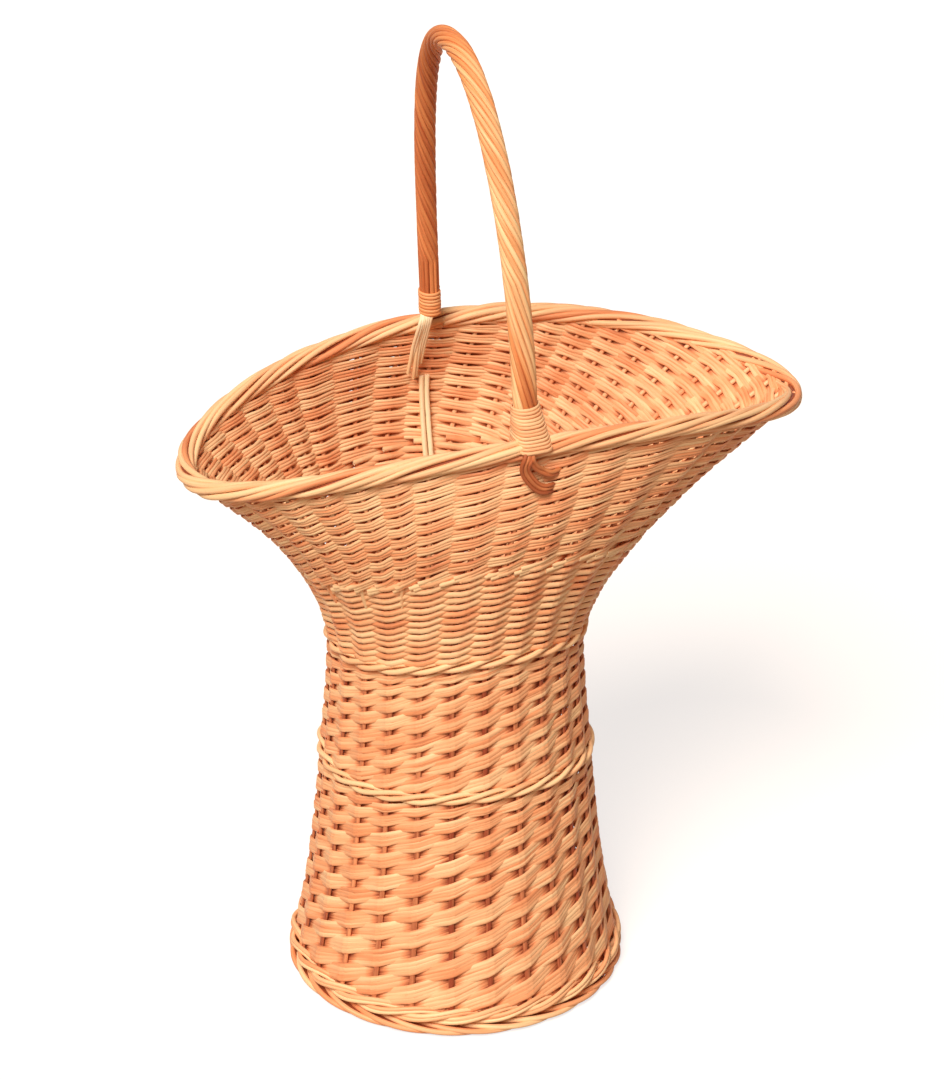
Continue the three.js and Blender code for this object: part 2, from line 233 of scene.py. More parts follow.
def makeWillow(name, shades, group):
    material, tree, shader = newMaterial(name)
    rodSkin = tree.nodes.new("ShaderNodeGroup")
    rodSkin.node_tree = group
    for socket, color in shades.items():
        rodSkin.inputs[socket].default_value = toLinear(color)
    bump = tree.nodes.new("ShaderNodeBump")
    bump.inputs["Strength"].default_value = skin["bumpStrength"]
    bump.inputs["Distance"].default_value = skin["bumpDistance"]
    tree.links.new(rodSkin.outputs["Color"], shader.inputs["Base Color"])
    tree.links.new(rodSkin.outputs["Roughness"], shader.inputs["Roughness"])
    tree.links.new(rodSkin.outputs["Height"], bump.inputs["Height"])
    tree.links.new(bump.outputs["Normal"], shader.inputs["Normal"])
    shader.inputs["Specular IOR Level"].default_value = skin["specular"]
    return material


def makeCutEnds():
    material, tree, shader = newMaterial("cutEnds")
    place = tree.nodes.new("ShaderNodeTexCoord")
    grain = tree.nodes.new("ShaderNodeTexNoise")
    grain.inputs["Scale"].default_value = cutEnds["grainScale"]
    ramp = tree.nodes.new("ShaderNodeValToRGB")
    ring, pith = ramp.color_ramp.elements
    ring.color = toLinear(cutEnds["ring"])
    pith.color = toLinear(cutEnds["pith"])
    ring.position = cutEnds["ringAt"]
    pith.position = cutEnds["pithAt"]
    tree.links.new(place.outputs["Object"], grain.inputs["Vector"])
    tree.links.new(grain.outputs["Fac"], ramp.inputs["Fac"])
    tree.links.new(ramp.outputs["Color"], shader.inputs["Base Color"])
    shader.inputs["Roughness"].default_value = cutEnds["roughness"]
    return material


skinGroup = makeSkinGroup()
finish = {name: makeWillow(name, shades, skinGroup) for name, shades in willow.items()}
cutFinish = makeCutEnds()
print("materials made:", ", ".join(finish))

# Rods: a path with the way its section faces, its thickness and its shade
rodMesh = {"sides": 8, "weaverSides": 6, "smoothAngle": 75}
rodGrain = {"eachRod": 37.0, "eachTone": 911.0, "along": 53.0}  # sets the rods' grain apart
wobbleWaves = (1.0, 0.55, 0.35)


def makeRod(path, facing, radius, tone, depth=None, recessShadeSides=(0.0, 0.0), bends=False):
    def alongPath(value):
        return np.broadcast_to(np.asarray(value), len(path))

    thick = radius if depth is None else depth
    # outer and inner hold painted shade for the rod's outer and inner faces
    return {"path": path, "facing": facing, "width": alongPath(radius), "thick": alongPath(thick),
            "tone": alongPath(tone), "outer": alongPath(recessShadeSides[0]), "inner": alongPath(recessShadeSides[1]),
            "bends": alongPath(bends)}


def markPoints(mesh, straight, tones):
    spots = mesh.attributes.new("straightRod", "FLOAT_VECTOR", "POINT")
    spots.data.foreach_set("vector", straight.astype(np.float32).ravel())
    shades = mesh.attributes.new("rodTone", "FLOAT", "POINT")
    shades.data.foreach_set("value", tones.astype(np.float32))


def sharpenBends(mesh, bent, sides):  # a crisp bend goes right round the rod
    ends = np.empty(2 * len(mesh.edges), dtype=np.int32)
    crisp = np.empty(len(mesh.edges), dtype=bool)
    mesh.edges.foreach_get("vertices", ends)
    mesh.edges.foreach_get("use_edge_sharp", crisp)
    ringA, ringB = (ends.reshape(-1, 2) // sides).T
    mesh.edges.foreach_set("use_edge_sharp", crisp | ((ringA == ringB) & bent[ringA]))


def layRods(name, rods, finishName, nodes=(), sides=rodMesh["sides"]):
    around = turn * (np.arange(sides) + 0.5) / sides
    corner = np.arange(sides)[None, :]
    outShare, sideShare = np.cos(around)[None, :], np.sin(around)[None, :]
    faced = 0.5 + 0.5 * outShare  # 1 on the outer face, 0 on the inner one
    corners, straight, tones, faces, caps = [], [], [], [], []
    first = 0
    for number, rod in enumerate(rods):
        path = rod["path"]
        count = len(path)
        along = unit(np.gradient(path, axis=0))
        out = unit(rod["facing"] - along * np.sum(rod["facing"] * along, axis=1, keepdims=True))
        side = np.cross(along, out)
        outReach = outShare * rod["thick"][:, None]
        sideReach = sideShare * rod["width"][:, None]
        outward = out[:, None, :] * outReach[..., None]
        sideways = side[:, None, :] * sideReach[..., None]
        corners.append((path[:, None, :] + outward + sideways).reshape(-1, 3))
        seed = rodGrain["eachRod"] * number + rodGrain["eachTone"] * rod["tone"][0]
        flat = np.empty((count, sides, 3))
        flat[..., 0] = outReach
        flat[..., 1] = sideReach + seed
        flat[..., 2] = lengthAlong(path)[:, None] + rodGrain["along"] * seed
        straight.append(flat.reshape(-1, 3))
        # painted shade: the outer or inner face is darkened where the weaver lies back behind the stakes
        paintedSlotShade = rod["outer"][:, None] * faced + rod["inner"][:, None] * (1 - faced)
        tones.append((rod["tone"][:, None] + paintedSlotShade).ravel())
        ringStart = first + sides * np.arange(count - 1)[:, None]
        here, beside = ringStart + corner, ringStart + (corner + 1) % sides
        faces.append(np.stack([here, beside, beside + sides, here + sides], axis=-1).reshape(-1, 4))
        caps.append(list(range(first + sides - 1, first - 1, -1)))
        caps.append(list(range(first + sides * (count - 1), first + sides * count)))
        first += sides * count
    quads = np.concatenate(faces)
    mesh = bpy.data.meshes.new(name)
    mesh.from_pydata((np.concatenate(corners) * mm).tolist(), [], quads.tolist() + caps)
    markPoints(mesh, np.concatenate(straight), np.concatenate(tones))
    mesh.materials.append(finish[finishName])
    mesh.materials.append(cutFinish)
    kinds = np.zeros(len(quads) + len(caps), dtype=np.int32)
    kinds[len(quads):] = 1
    mesh.polygons.foreach_set("material_index", kinds)
    piece = bpy.data.objects.new(name, mesh)
    bpy.context.scene.collection.objects.link(piece)
    bpy.ops.object.select_all(action="DESELECT")
    piece.select_set(True)
    bpy.context.view_layer.objects.active = piece
    bpy.ops.object.shade_smooth_by_angle(angle=math.radians(rodMesh["smoothAngle"]))
    piece.select_set(False)
    bent = np.concatenate([rod["bends"] for rod in rods])
    if bent.any():
        sharpenBends(mesh, bent, sides)
    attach(piece, "root")
    if nodes:
        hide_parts(*nodes)
    return piece


def wobble(distance, size, length):
    total = np.zeros_like(distance)
    for share in wobbleWaves:
        total += share * np.sin(turn * (distance / (length * share) + rng.random()))
    return size * total / sum(wobbleWaves)


# Stakes: one for each stake of the frame, thicker at the foot, flatter in the body, and painted darker
# there as painted shade under the weave
stakes = {"bottom": 9.8, "top": 457.5, "footRadius": 2.15, "rimRadius": 1.75, "steps": 90, "pressed": 0.6,
          "bodyShadeTone": 0.82, "flareTone": 0.35, "toneSpread": 0.15, "paleFrom": 335, "paleTo": 365,
          "wobble": (0.3, 140)}  # a wobble is its size and its length


def makeStakes():
    height = np.linspace(stakes["bottom"], stakes["top"], stakes["steps"])
    radius = partWay(stakes["footRadius"], stakes["rimRadius"], np.linspace(0, 1, stakes["steps"]))
    pale = shareOf(height, stakes["paleFrom"], stakes["paleTo"])
    # painted shade: the stakes are darker in the body, where the weave overhangs them, and pale above it
    tone = partWay(stakes["bodyShadeTone"], stakes["flareTone"], pale)
    depth = radius * partWay(stakes["pressed"], 1, pale)
    for number in range(wall["stakes"]):
        place, out, _ = wallFrame(np.full_like(height, stakeAngle(number)), height)
        path = place + out * wobble(height, *stakes["wobble"])[:, None]
        ownTone = tone + rng.uniform(-stakes["toneSpread"], stakes["toneSpread"])
        label = f"stake_{number + 1:02d}"
        rod = makeRod(path, out, radius, ownTone, depth)
        layRods("willow_" + label, [rod], "paleWillow", [label])


makeStakes()
print("stakes stand:", wall["stakes"])

# Bye-stakes: pushed in beside the stakes where the mouth opens, in the wide spaces only
byeStakes = {"bottom": 338, "top": stakes["top"], "radius": 1.7, "steps": 34, "point": (0.3, 0.6, 0.9),
             "plainReach": 2.75,  # spaces without one, from the front and from the back
             "startShare": 0.36, "spreadFrom": 350, "spreadTo": 392, "tones": (0.0, 0.4)}


def hasByeStake(space):
    half = wall["stakes"] / 2
    fromFront = abs((space + 0.5 + half) % wall["stakes"] - half)
    return min(fromFront, half - fromFront) > byeStakes["plainReach"]


def byeShare(height):
    spread = shareOf(height, byeStakes["spreadFrom"], byeStakes["spreadTo"])
    return partWay(byeStakes["startShare"], 0.5, eased(spread))


byeSpaces = [space for space in range(wall["stakes"]) if hasByeStake(space)]
flareStakes = [(space, False) for space in range(wall["stakes"])] + [(space, True) for space in byeSpaces]
flareStakes.sort()


def flareAngle(place, height):
    count = len(flareStakes)
    low = np.floor(place).astype(int)
    share = place - low
    ends = []
    for index in (low, low + 1):
        stake = np.array([flareStakes[i % count][0] for i in index], float)
        bye = np.array([flareStakes[i % count][1] for i in index])
        laps = np.floor_divide(index, count)
        ends.append(stakeAngle(stake + np.where(bye, byeShare(height), 0) + laps * wall["stakes"]))
    return ends[0] * (1 - share) + ends[1] * share


def makeByeStakes():
    height = np.linspace(byeStakes["bottom"], byeStakes["top"], byeStakes["steps"])
    radius = np.full(byeStakes["steps"], byeStakes["radius"])
    radius[:len(byeStakes["point"])] *= byeStakes["point"]
    for number, space in enumerate(byeSpaces):
        place, out, _ = wallFrame(stakeAngle(space + byeShare(height)), height)
        rod = makeRod(place, out, radius, rng.uniform(*byeStakes["tones"]))
        layRods(f"bye_stake_{number + 1:02d}", [rod], "paleWillow")


makeByeStakes()
print("bye-stakes:", len(byeSpaces))

# Woven bands: one weaver starts at each stake and climbs a row at every stake it passes
# Weavers are painted darker where they lie back behind a stake: painted shade in the slots, seen from
# outside and from inside
slew = {"flatness": 0.32, "lapped": 1.5, "swing": 1.8, "start": -1, "lead": 2, "tones": (0.18, 0.36),
        "closing": 0.0, "pinch": 0.0, "butt": 0.0, "paintedRecessShade": 0.65, "crisp": True}
lowerSlew = {**slew, "bottom": 13.5, "top": 180, "rodsEach": 4, "cover": 1.8,
             "rowHeights": [(0, 10.6), (14, 7.8), (16, 5.2), (19, 3.6)]}
middleSlew = {**slew, "bottom": 183, "top": 284, "rodsEach": 3, "cover": 1.4,
              "rowHeights": [(0, 8.0), (10, 6.8), (12, 4.6), (15, 3.4)]}
neckWeave = {"bottom": 289, "top": 367, "rodsEach": 1, "rowHeights": [(0, 2.9), (27, 2.8)],
             "flatness": 0.62, "lapped": 1.18, "swing": 2.6, "start": -1, "lead": 2, "tones": (0.1, 0.4),
             "closing": 1.05, "cover": 0.0, "pinch": 0.0, "butt": 0.0, "paintedRecessShade": 0.55, "crisp": True}
flareWeave = {"bottom": 363, "top": wall["rim"], "rodsEach": 3, "rowHeights": [(0, 4.9), (22, 3.7)],
              "flatness": 0.55, "lapped": 1.18, "swing": 2.4, "start": 1, "lead": 4, "tones": (0.1, 0.36),
              "closing": 2.85, "cover": 0.0, "pinch": 0.2, "butt": 0.6, "paintedRecessShade": 0.6, "crisp": False}
weaving = {
    "places": (0.08, 0.36, 0.64, 0.92),  # bent beside each stake, straight between
    "endStep": 0.17,
    "tail": 1,
    "rowSteps": 40,
    "rowMargin": 0.35,
    "pinchPower": 16,  # rods crowd together over a stake only
    "coverPower": 0.6,
    "buttLength": 0.8,  # the thick pale end that a weaver starts with
    "buttSwell": 0.5,
    "recessShadeFalloff": 3,
    "thickness": (0.85, 1.15),
    "toneSpread": 0.12,
    "outWobble": (0.3, 70),
    "liftWobble": (0.25, 90),
    "toneWobble": (0.12, 110),
}


def swingWave(t):
    straight = 2 * np.arcsin(np.clip(np.cos(math.pi * t), -1, 1)) / math.pi
    return np.clip(straight / (1 - 2 * weaving["places"][0]), -1, 1)  # flat across a stake


def straightBetween(place, height, angleAt):
    near = np.floor(place)
    share = (place - near)[:, None]
    here, there = (wallFrame(angleAt(stake, height), height) for stake in (near, near + 1))
    spot, out, up = (a * (1 - share) + b * share for a, b in zip(here, there))
    return spot, unit(out), unit(up)


def weaveBand(name, band, stakeCount, angleAt, finishName, nodes):
    rowPlaces, rowSizes = np.array(band["rowHeights"], float).T
    rows = int(rowPlaces[-1])
    fine = np.linspace(0, rows, weaving["rowSteps"] * rows + 1)
    fineSize = np.interp(fine, rowPlaces, rowSizes)
    fineTop = np.concatenate([[0], np.cumsum(0.5 * (fineSize[1:] + fineSize[:-1]) / weaving["rowSteps"])])
    scale = (band["top"] - band["bottom"]) / fineTop[-1]
    between = np.arange(rows - 1)[:, None] + np.array(weaving["places"])[None, :]
    before = weaving["endStep"] * np.arange(-band["lead"], 0)
    after = rows - 1 + weaving["endStep"] * np.arange(weaving["tail"] + 1)
    steps = np.concatenate([before, between.ravel(), after])
    middle = np.clip(steps + 0.5, weaving["rowMargin"], rows - weaving["rowMargin"])
    height = band["bottom"] + scale * np.interp(middle, fine, fineTop) + np.minimum(steps, 0) * rowSizes[0]
    pitch = scale * np.interp(middle, rowPlaces, rowSizes)
    drawn = 1 - band["pinch"] * np.cos(math.pi * steps) ** weaving["pinchPower"]
    sway = band["start"] * np.where(steps < 0, 1, swingWave(steps))  # 1 outside a stake, -1 inside
    butt = np.clip(1 - (steps - steps[0]) / weaving["buttLength"], 0, 1) * band["butt"]
    bends = np.isclose(np.abs(steps - np.round(steps)), weaving["places"][0]) & band["crisp"]
    # painted shade on the face that lies back behind a stake, strongest at the stake itself
    recessShadeSides = [band["paintedRecessShade"] * np.maximum(side * sway, 0) ** weaving["recessShadeFalloff"] for side in (-1, 1)]
    distance = steps * wall["stakeSpace"]
    rods = []
    for weaver in range(stakeCount):
        bandTone = rng.uniform(*band["tones"])
        thickness = rng.uniform(*weaving["thickness"], band["rodsEach"])
        edges = np.concatenate([[0], np.cumsum(thickness)]) / thickness.sum()
        place, outward, up = straightBetween(weaver + steps, height, angleAt)
        angle = angleAt(weaver + steps, height)
        climb = np.linalg.norm(wallAt(angle, height + 1) - wallAt(angle, height - 1), axis=-1) / 2
        covered = band["cover"] * np.abs(sway) ** weaving["coverPower"]
        bandHeight = (climb * pitch + band["closing"]) * drawn + covered
        for low, high in zip(edges[:-1], edges[1:]):
            out = band["swing"] * sway + wobble(distance, *weaving["outWobble"])
            lift = bandHeight * (0.5 * (low + high) - 0.5) + wobble(distance, *weaving["liftWobble"])
            path = place + outward * out[:, None] + up * lift[:, None]
            radius = 0.5 * bandHeight * (high - low) * band["lapped"] * (1 + weaving["buttSwell"] * butt)
            tone = bandTone + rng.uniform(-weaving["toneSpread"], weaving["toneSpread"])
            tone = tone + wobble(distance, *weaving["toneWobble"]) - butt
            rod = makeRod(path, outward, radius, tone, radius * band["flatness"], recessShadeSides, bends)
            first = rng.integers(0, band["lead"])  # the butts are cut to uneven lengths
            rods.append({key: values[first:] for key, values in rod.items()})
    piece = layRods(name, rods, finishName, nodes, rodMesh["weaverSides"])
    print("woven:", name, len(rods), "rods", len(piece.data.polygons), "faces")


def bodyAngle(place, height):
    return stakeAngle(place)


weaveBand("lower_slew_weavers", lowerSlew, wall["stakes"], bodyAngle, "paleWillow",
          [f"lower_slew_{i}" for i in (1, 2, 3)])
weaveBand("middle_slew_weavers", middleSlew, wall["stakes"], bodyAngle, "paleWillow",
          [f"middle_slew_{i}" for i in (1, 2)])
weaveBand("neck_weavers", neckWeave, wall["stakes"], bodyAngle, "warmWillow", ["neck_weave"])
weaveBand("flare_weavers", flareWeave, len(flareStakes), flareAngle, "paleWillow",
          ["flare_weave_1", "flare_weave_2"])

# Wales: three rods twisted in front of two stakes and behind one
footWale = {"height": 15.6, "radius": 1.65, "spread": 3.2, "outside": 4.2, "inside": 4.0,
            "tones": (0.0, 0.4), "rodsEach": 2, "apart": 2.7}
lowerWale = {"height": 184, "radius": 1.85, "spread": 2.9, "outside": 3.0, "inside": 2.8,
             "tones": (0.0, 0.3), "rodsEach": 1, "apart": 0.0}
upperWale = {"height": 288, "radius": 1.9, "spread": 3.0, "outside": 3.0, "inside": 2.8,
             "tones": (0.0, 0.3), "rodsEach": 1, "apart": 0.0}
waling = {"strands": 3, "stepsEach": 8, "seam": 13, "lap": 0.6, "outWobble": (0.2, 110),
          "riseWobble": (0.3, 130), "sizeWobble": (0.08, 260)}


def twistWale(name, wale, nodeName):
    middle = (wale["outside"] - wale["inside"]) / 2
    depth = (wale["outside"] + wale["inside"]) / 2
    count = int((wall["stakes"] + waling["lap"]) * waling["stepsEach"])
    place = waling["seam"] + np.arange(count + 1) / waling["stepsEach"]
    distance = place * wall["stakeSpace"]
    point, out, up = wallFrame(stakeAngle(place), np.full_like(place, wale["height"]))
    for strand in range(waling["strands"]):
        twist = math.pi + turn * (place + strand) / waling["strands"]
        rods = []
        for number in range(wale["rodsEach"]):
            aside = (number - 0.5 * (wale["rodsEach"] - 1)) * wale["apart"]
            outside = middle + depth * np.cos(twist) + wobble(distance, *waling["outWobble"])
            rise = wale["spread"] * np.sin(twist) + aside + wobble(distance, *waling["riseWobble"])
            path = point + out * outside[:, None] + up * rise[:, None]
            radius = wale["radius"] * (1 + wobble(distance, *waling["sizeWobble"]))
            rods.append(makeRod(path, out, radius, rng.uniform(*wale["tones"])))
        layRods(f"{name}_{strand + 1}", rods, "paleWillow", [f"{nodeName}_{strand + 1}"])


twistWale("foot_wale_strand", footWale, "foot_wale_rod")
twistWale("lower_wale_strand", lowerWale, "lower_wale_rod")
twistWale("upper_wale_strand", upperWale, "upper_wale_rod")
print("wales twisted")

# Foot border: each rod comes down over the edge and is woven away underneath
# the core is painted dark as painted shade inside the border
footBorder = {"middle": 111.5, "height": 4.9, "halfWidth": 9.0, "halfHeight": 2.5, "radius": 2.0,
              "tones": (0.0, 0.55), "turnsRound": 4, "startTurn": 0.42, "stepsEach": 8, "overlap": 1.04,
              "coreHeight": 1.7, "coreReach": 6.8, "coreShadeTone": 1.0, "coreSteps": 145}


def aroundFoot(angle, radius, height):
    outward = np.stack([np.cos(angle), np.sin(angle), np.zeros_like(angle)], axis=-1)
    path = outward * np.broadcast_to(radius, len(angle))[:, None]
    path[:, 0] -= wall["mouthShift"]
    path[:, 2] = height
    return path, outward


def rollFootBorder():
    lengthEach = wall["stakes"] / footBorder["turnsRound"]
    steps = np.linspace(0, lengthEach * footBorder["overlap"], int(lengthEach * footBorder["stepsEach"]))
    phase = turn * (footBorder["startTurn"] - steps / lengthEach)
    radius = footBorder["middle"] + footBorder["halfWidth"] * np.cos(phase)
    height = footBorder["height"] + footBorder["halfHeight"] * np.sin(phase)
    rods = []
    for stake in range(wall["stakes"]):
        path, outward = aroundFoot(stakeAngle(stake + steps), radius, height)
        rods.append(makeRod(path, outward, footBorder["radius"], rng.uniform(*footBorder["tones"])))
    layRods("foot_border_rods", rods, "warmWillow", ["foot_border"])
    angle = np.linspace(0, turn, footBorder["coreSteps"])  # the ends woven away inside, painted dark as painted shade seen through the border
    path, outward = aroundFoot(angle, footBorder["middle"], footBorder["height"])
    core = makeRod(path, outward, footBorder["coreHeight"], footBorder["coreShadeTone"], footBorder["coreReach"])
    layRods("foot_border_core", [core], "brownWillow")


rollFootBorder()
print("foot border rolled")

# Base: a slightly crowned disc of rods woven round spokes, on two pairs of sticks
base = {"inner": 1.5, "outer": 112.5, "height": 22.6, "crown": 5.0, "radius": 1.75, "tones": (0.2, 0.8),
        "lengths": 6, "spokes": 24, "overlap": 0.9, "wave": 0.8, "stepsEachTurn": 144, "overrun": 3}
baseSticks = {"reach": 104, "spacing": 15, "radius": 2.75, "lower": 11.95, "upper": 17.5, "sides": 14,
              "bevel": 0.6, "bevelSteps": 2, "smoothAngle": 40, "tone": 0.4, "grainEach": 17.0}


def weaveBase():
    pitch = 2 * base["radius"] * base["overlap"]
    turns = (base["outer"] - base["inner"]) / pitch
    turnsEach = turns / base["lengths"]
    rods = []
    for number in range(base["lengths"]):
        count = int(turnsEach * base["stepsEachTurn"]) + base["overrun"]
        lap = number * turns / base["lengths"] + np.arange(count) / base["stepsEachTurn"]
        radius = base["inner"] + pitch * lap
        angle = turn * lap
        wave = base["wave"] * np.cos(0.5 * base["spokes"] * angle + math.pi * np.floor(lap))
        height = base["height"] + base["crown"] * (1 - (radius / base["outer"]) ** 2) + wave
        path, _ = aroundFoot(angle, radius, height)
        facing = np.tile((0.0, 0.0, 1.0), (count, 1))
        rods.append(makeRod(path, facing, base["radius"], rng.uniform(*base["tones"])))
    layRods("base_weavers", rods, "warmWillow", ["base_weave"], rodMesh["weaverSides"])


def makeBaseStick(number, aside, height, crosswise):
    bpy.ops.object.select_all(action="DESELECT")
    bpy.ops.mesh.primitive_cylinder_add(vertices=baseSticks["sides"], radius=baseSticks["radius"] * mm,
                                        depth=2 * baseSticks["reach"] * mm)
    stick = bpy.context.object
    stick.name = f"base_stick_round_{number}"
    bpy.ops.object.mode_set(mode="EDIT")
    bpy.ops.mesh.select_all(action="SELECT")
    bpy.ops.mesh.bevel(offset=baseSticks["bevel"] * mm, segments=baseSticks["bevelSteps"], affect="EDGES",
                       clamp_overlap=True)
    bpy.ops.object.mode_set(mode="OBJECT")
    spot = Vector((aside, 0, height)) if crosswise else Vector((0, aside, height))
    heading = math.pi / 2 if crosswise else 0.0
    lay = Matrix.Rotation(heading, 4, "Z") @ Matrix.Rotation(math.pi / 2, 4, "Y")
    stick.data.transform(Matrix.Translation((spot - Vector((wall["mouthShift"], 0, 0))) * mm) @ lay)
    stick.data.materials.append(finish["brownWillow"])
    bpy.ops.object.shade_smooth_by_angle(angle=math.radians(baseSticks["smoothAngle"]))
    straight = np.array([v.co for v in stick.data.vertices]) / mm + number * baseSticks["grainEach"]
    straight = straight[:, (2, 0, 1) if crosswise else (1, 2, 0)]  # the stick's own length comes last
    markPoints(stick.data, straight, np.full(len(straight), baseSticks["tone"]))
    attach(stick, "root")
    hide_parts(f"base_stick_{number}")


def makeBaseSticks():
    number = 1
    for side in (-1, 1):
        for height, crosswise in ((baseSticks["lower"], False), (baseSticks["upper"], True)):
            makeBaseStick(number, side * baseSticks["spacing"] / 2, height, crosswise)
            number += 1


weaveBase()
makeBaseSticks()
print("base laid")

# Rim border: stakes turned down and plaited along the edge
# the core is painted dark as painted shade between the plaited rods
rim = {"height": 455.5, "out": 1.4, "strands": 7, "turnsRound": 6, "acrossReach": 4.7, "upReach": 5.1,
       "radius": 2.15, "stepsRound": 420, "tones": (0.0, 0.55), "twistWobble": (0.4, 260),
       "acrossWobble": (0.5, 180), "riseWobble": (0.5, 160), "sizeWobble": (0.16, 240),
       "coreRadius": 3.6, "coreShadeTone": 0.95}


def plaitRim():
    share = np.arange(rim["stepsRound"] + 1) / rim["stepsRound"]
    angle = math.pi / 2 + turn * share
    point, out, up = wallFrame(angle, np.full_like(angle, rim["height"]))
    length = lengthAlong(point)
    rods = []
    for strand in range(rim["strands"]):
        phase = turn * (rim["turnsRound"] * length / length[-1] + strand / rim["strands"])
        phase = phase + wobble(length, *rim["twistWobble"])
        across = rim["out"] + rim["acrossReach"] * np.cos(phase) + wobble(length, *rim["acrossWobble"])
        rise = rim["upReach"] * np.sin(phase) + wobble(length, *rim["riseWobble"])
        path = point + out * across[:, None] + up * rise[:, None]
        radius = rim["radius"] * (1 + wobble(length, *rim["sizeWobble"]))
        rods.append(makeRod(path, out, radius, rng.uniform(*rim["tones"])))
    layRods("rim_border", rods, "paleWillow", [f"rim_border_rod_{i}" for i in (1, 2, 3)])
    core = makeRod(point + out * rim["out"], out, rim["coreRadius"], rim["coreShadeTone"])  # stakes laid inside, painted dark as painted shade seen between the plaited rods
    layRods("rim_border_core", [core], "brownWillow")


plaitRim()
print("rim plaited")

# Handle: a bow with rods twisted round it
handle = {
    "half": 93.8,
    "rise": 250,
    "squareness": 2.32,
    "shift": -13.5,
    "lean": -18,
    "leanGrowth": 1.5,
    "tuck": 60,  # how far the legs go down inside the border
    "archSteps": 400,
    "legSteps": 40,
    "near": 3,  # how far off its direction is measured
    "bowRadius": 4.4,
    "bowFrom": 53,
    "bowTo": 72,
    "bowSteps": 160,
    "bowSides": 10,
    "bowTone": 0.6,
    "rods": 11,
    "rodRadius": 1.95,
    "reach": 6.9,
    "reachWobble": (0.15, 200),
    "wrapFrom": 60,
    "wrapTo": 76,
    "steps": 300,
    "turns": -5.4,
    "twist": [(0, 0.09), (0.04, 0.1), (0.2, 0.2), (0.93, 0.93), (1, 0.93)],  # nearly straight at the feet
    "backScale": 0.78,
    "drawnIn": 0.88,
    "drawnOver": 40,
    "frontTone": 0.2,
    # the back half of the handle is painted darker: painted shade for the back leg's shaded side
    "backShadeTone": 0.7,
    "backShadeFrom": 0.34,
    "backShadeTo": 0.64,
    "toneSpread": (-0.15, 0.2),
    "rightShadeRods": (3, 4, 5),  # painted shade on the right side of the leg near the front foot
    "rightShadeTone": 0.9,
    "rightShadeFull": 0.054,
    "rightShadeEnd": 0.144,
}


def handleCurve():
    share = np.linspace(0, 1, handle["archSteps"])
    across, lift = np.cos(math.pi * share), np.sin(math.pi * share)
    lift = np.maximum(lift, 0) ** (2 / handle["squareness"])
    x = handle["shift"] + handle["lean"] * lift ** handle["leanGrowth"]
    y = -handle["half"] * np.sign(across) * np.abs(across) ** (2 / handle["squareness"])
    arch = np.stack([x, y, wall["rim"] + handle["rise"] * lift], axis=-1)
    drop = np.linspace(handle["tuck"], 1, handle["legSteps"])
    legX = np.full_like(drop, handle["shift"])
    front, back = (np.stack([legX, np.full_like(drop, side * handle["half"]), wall["rim"] - drop], axis=-1)
                   for side in (-1, 1))
    return np.concatenate([front, arch, back[::-1]])


curve = handleCurve()
curveAt = lengthAlong(curve)
curveLength = curveAt[-1]


def handlePoint(distance):
    return np.stack([np.interp(distance, curveAt, curve[:, i]) for i in range(3)], axis=-1)


def onHandle(distance):
    along = unit(handlePoint(distance + handle["near"]) - handlePoint(distance - handle["near"]))
    sideways = unit(np.array([1.0, 0, 0]) - along * along[:, :1])
    return handlePoint(distance), sideways, np.cross(along, sideways)


def aroundHandle(distance, angle, reach):
    point, sideways, upward = onHandle(distance)
    facing = sideways * np.cos(angle)[:, None] + upward * np.sin(angle)[:, None]
    return point + facing * np.broadcast_to(reach, len(distance))[:, None], facing


def handleScale(distance):  # thinner towards the back, and drawn in at both feet
    share = np.clip(distance / curveLength, 0, 1)
    fromFoot = np.minimum(distance, curveLength - distance) - handle["wrapFrom"]
    opening = eased(shareOf(fromFoot, 0, handle["drawnOver"]))
    return partWay(1, handle["backScale"], share) * partWay(handle["drawnIn"], 1, opening)


def makeBow():
    distance = np.linspace(handle["bowFrom"], curveLength - handle["bowTo"], handle["bowSteps"])
    path, facing = aroundHandle(distance, np.zeros_like(distance), 0.0)
    bow = makeRod(path, facing, handle["bowRadius"] * handleScale(distance), handle["bowTone"])
    layRods("handle_bow_rod", [bow], "brownWillow", ["handle_bow"], handle["bowSides"])


def twistHandleRods():
    distance = np.linspace(handle["wrapFrom"], curveLength - handle["wrapTo"], handle["steps"])
    share = np.linspace(0, 1, handle["steps"])
    scale = handleScale(distance)
    twist = handle["turns"] * np.interp(share, *zip(*handle["twist"]))
    rods = []
    for number in range(handle["rods"]):
        angle = turn * (number / handle["rods"] + twist)
        reach = handle["reach"] * scale + wobble(distance, *handle["reachWobble"])
        path, facing = aroundHandle(distance, angle, reach)
        # painted shade, darker towards the back
        handleShade = shareOf(share, handle["backShadeFrom"], handle["backShadeTo"])
        # painted shade on the rods along the leg's right side near the front foot
        if number in handle["rightShadeRods"]:
            rightSideShade = shareOf(share, handle["rightShadeEnd"], handle["rightShadeFull"])
            handleShade = np.maximum(handleShade, handle["rightShadeTone"] * rightSideShade)
        tone = partWay(handle["frontTone"], handle["backShadeTone"], handleShade) + rng.uniform(*handle["toneSpread"])
        rods.append(makeRod(path, facing, handle["rodRadius"] * scale, tone))
    layRods("handle_rods", rods, "handleWillow", [f"handle_rod_{i}" for i in range(1, 7)])


makeBow()
twistHandleRods()
print("handle twisted")

# Bindings: a split rod wound round each foot of the handle
frontBinding = {"loops": 13, "from": 60, "pitch": 2.0, "reach": 9.2, "widen": 0.28, "stretch": 0.62,
                "out": -10.8, "square": 0.55, "tone": 0.2, "finish": "paleWillow"}
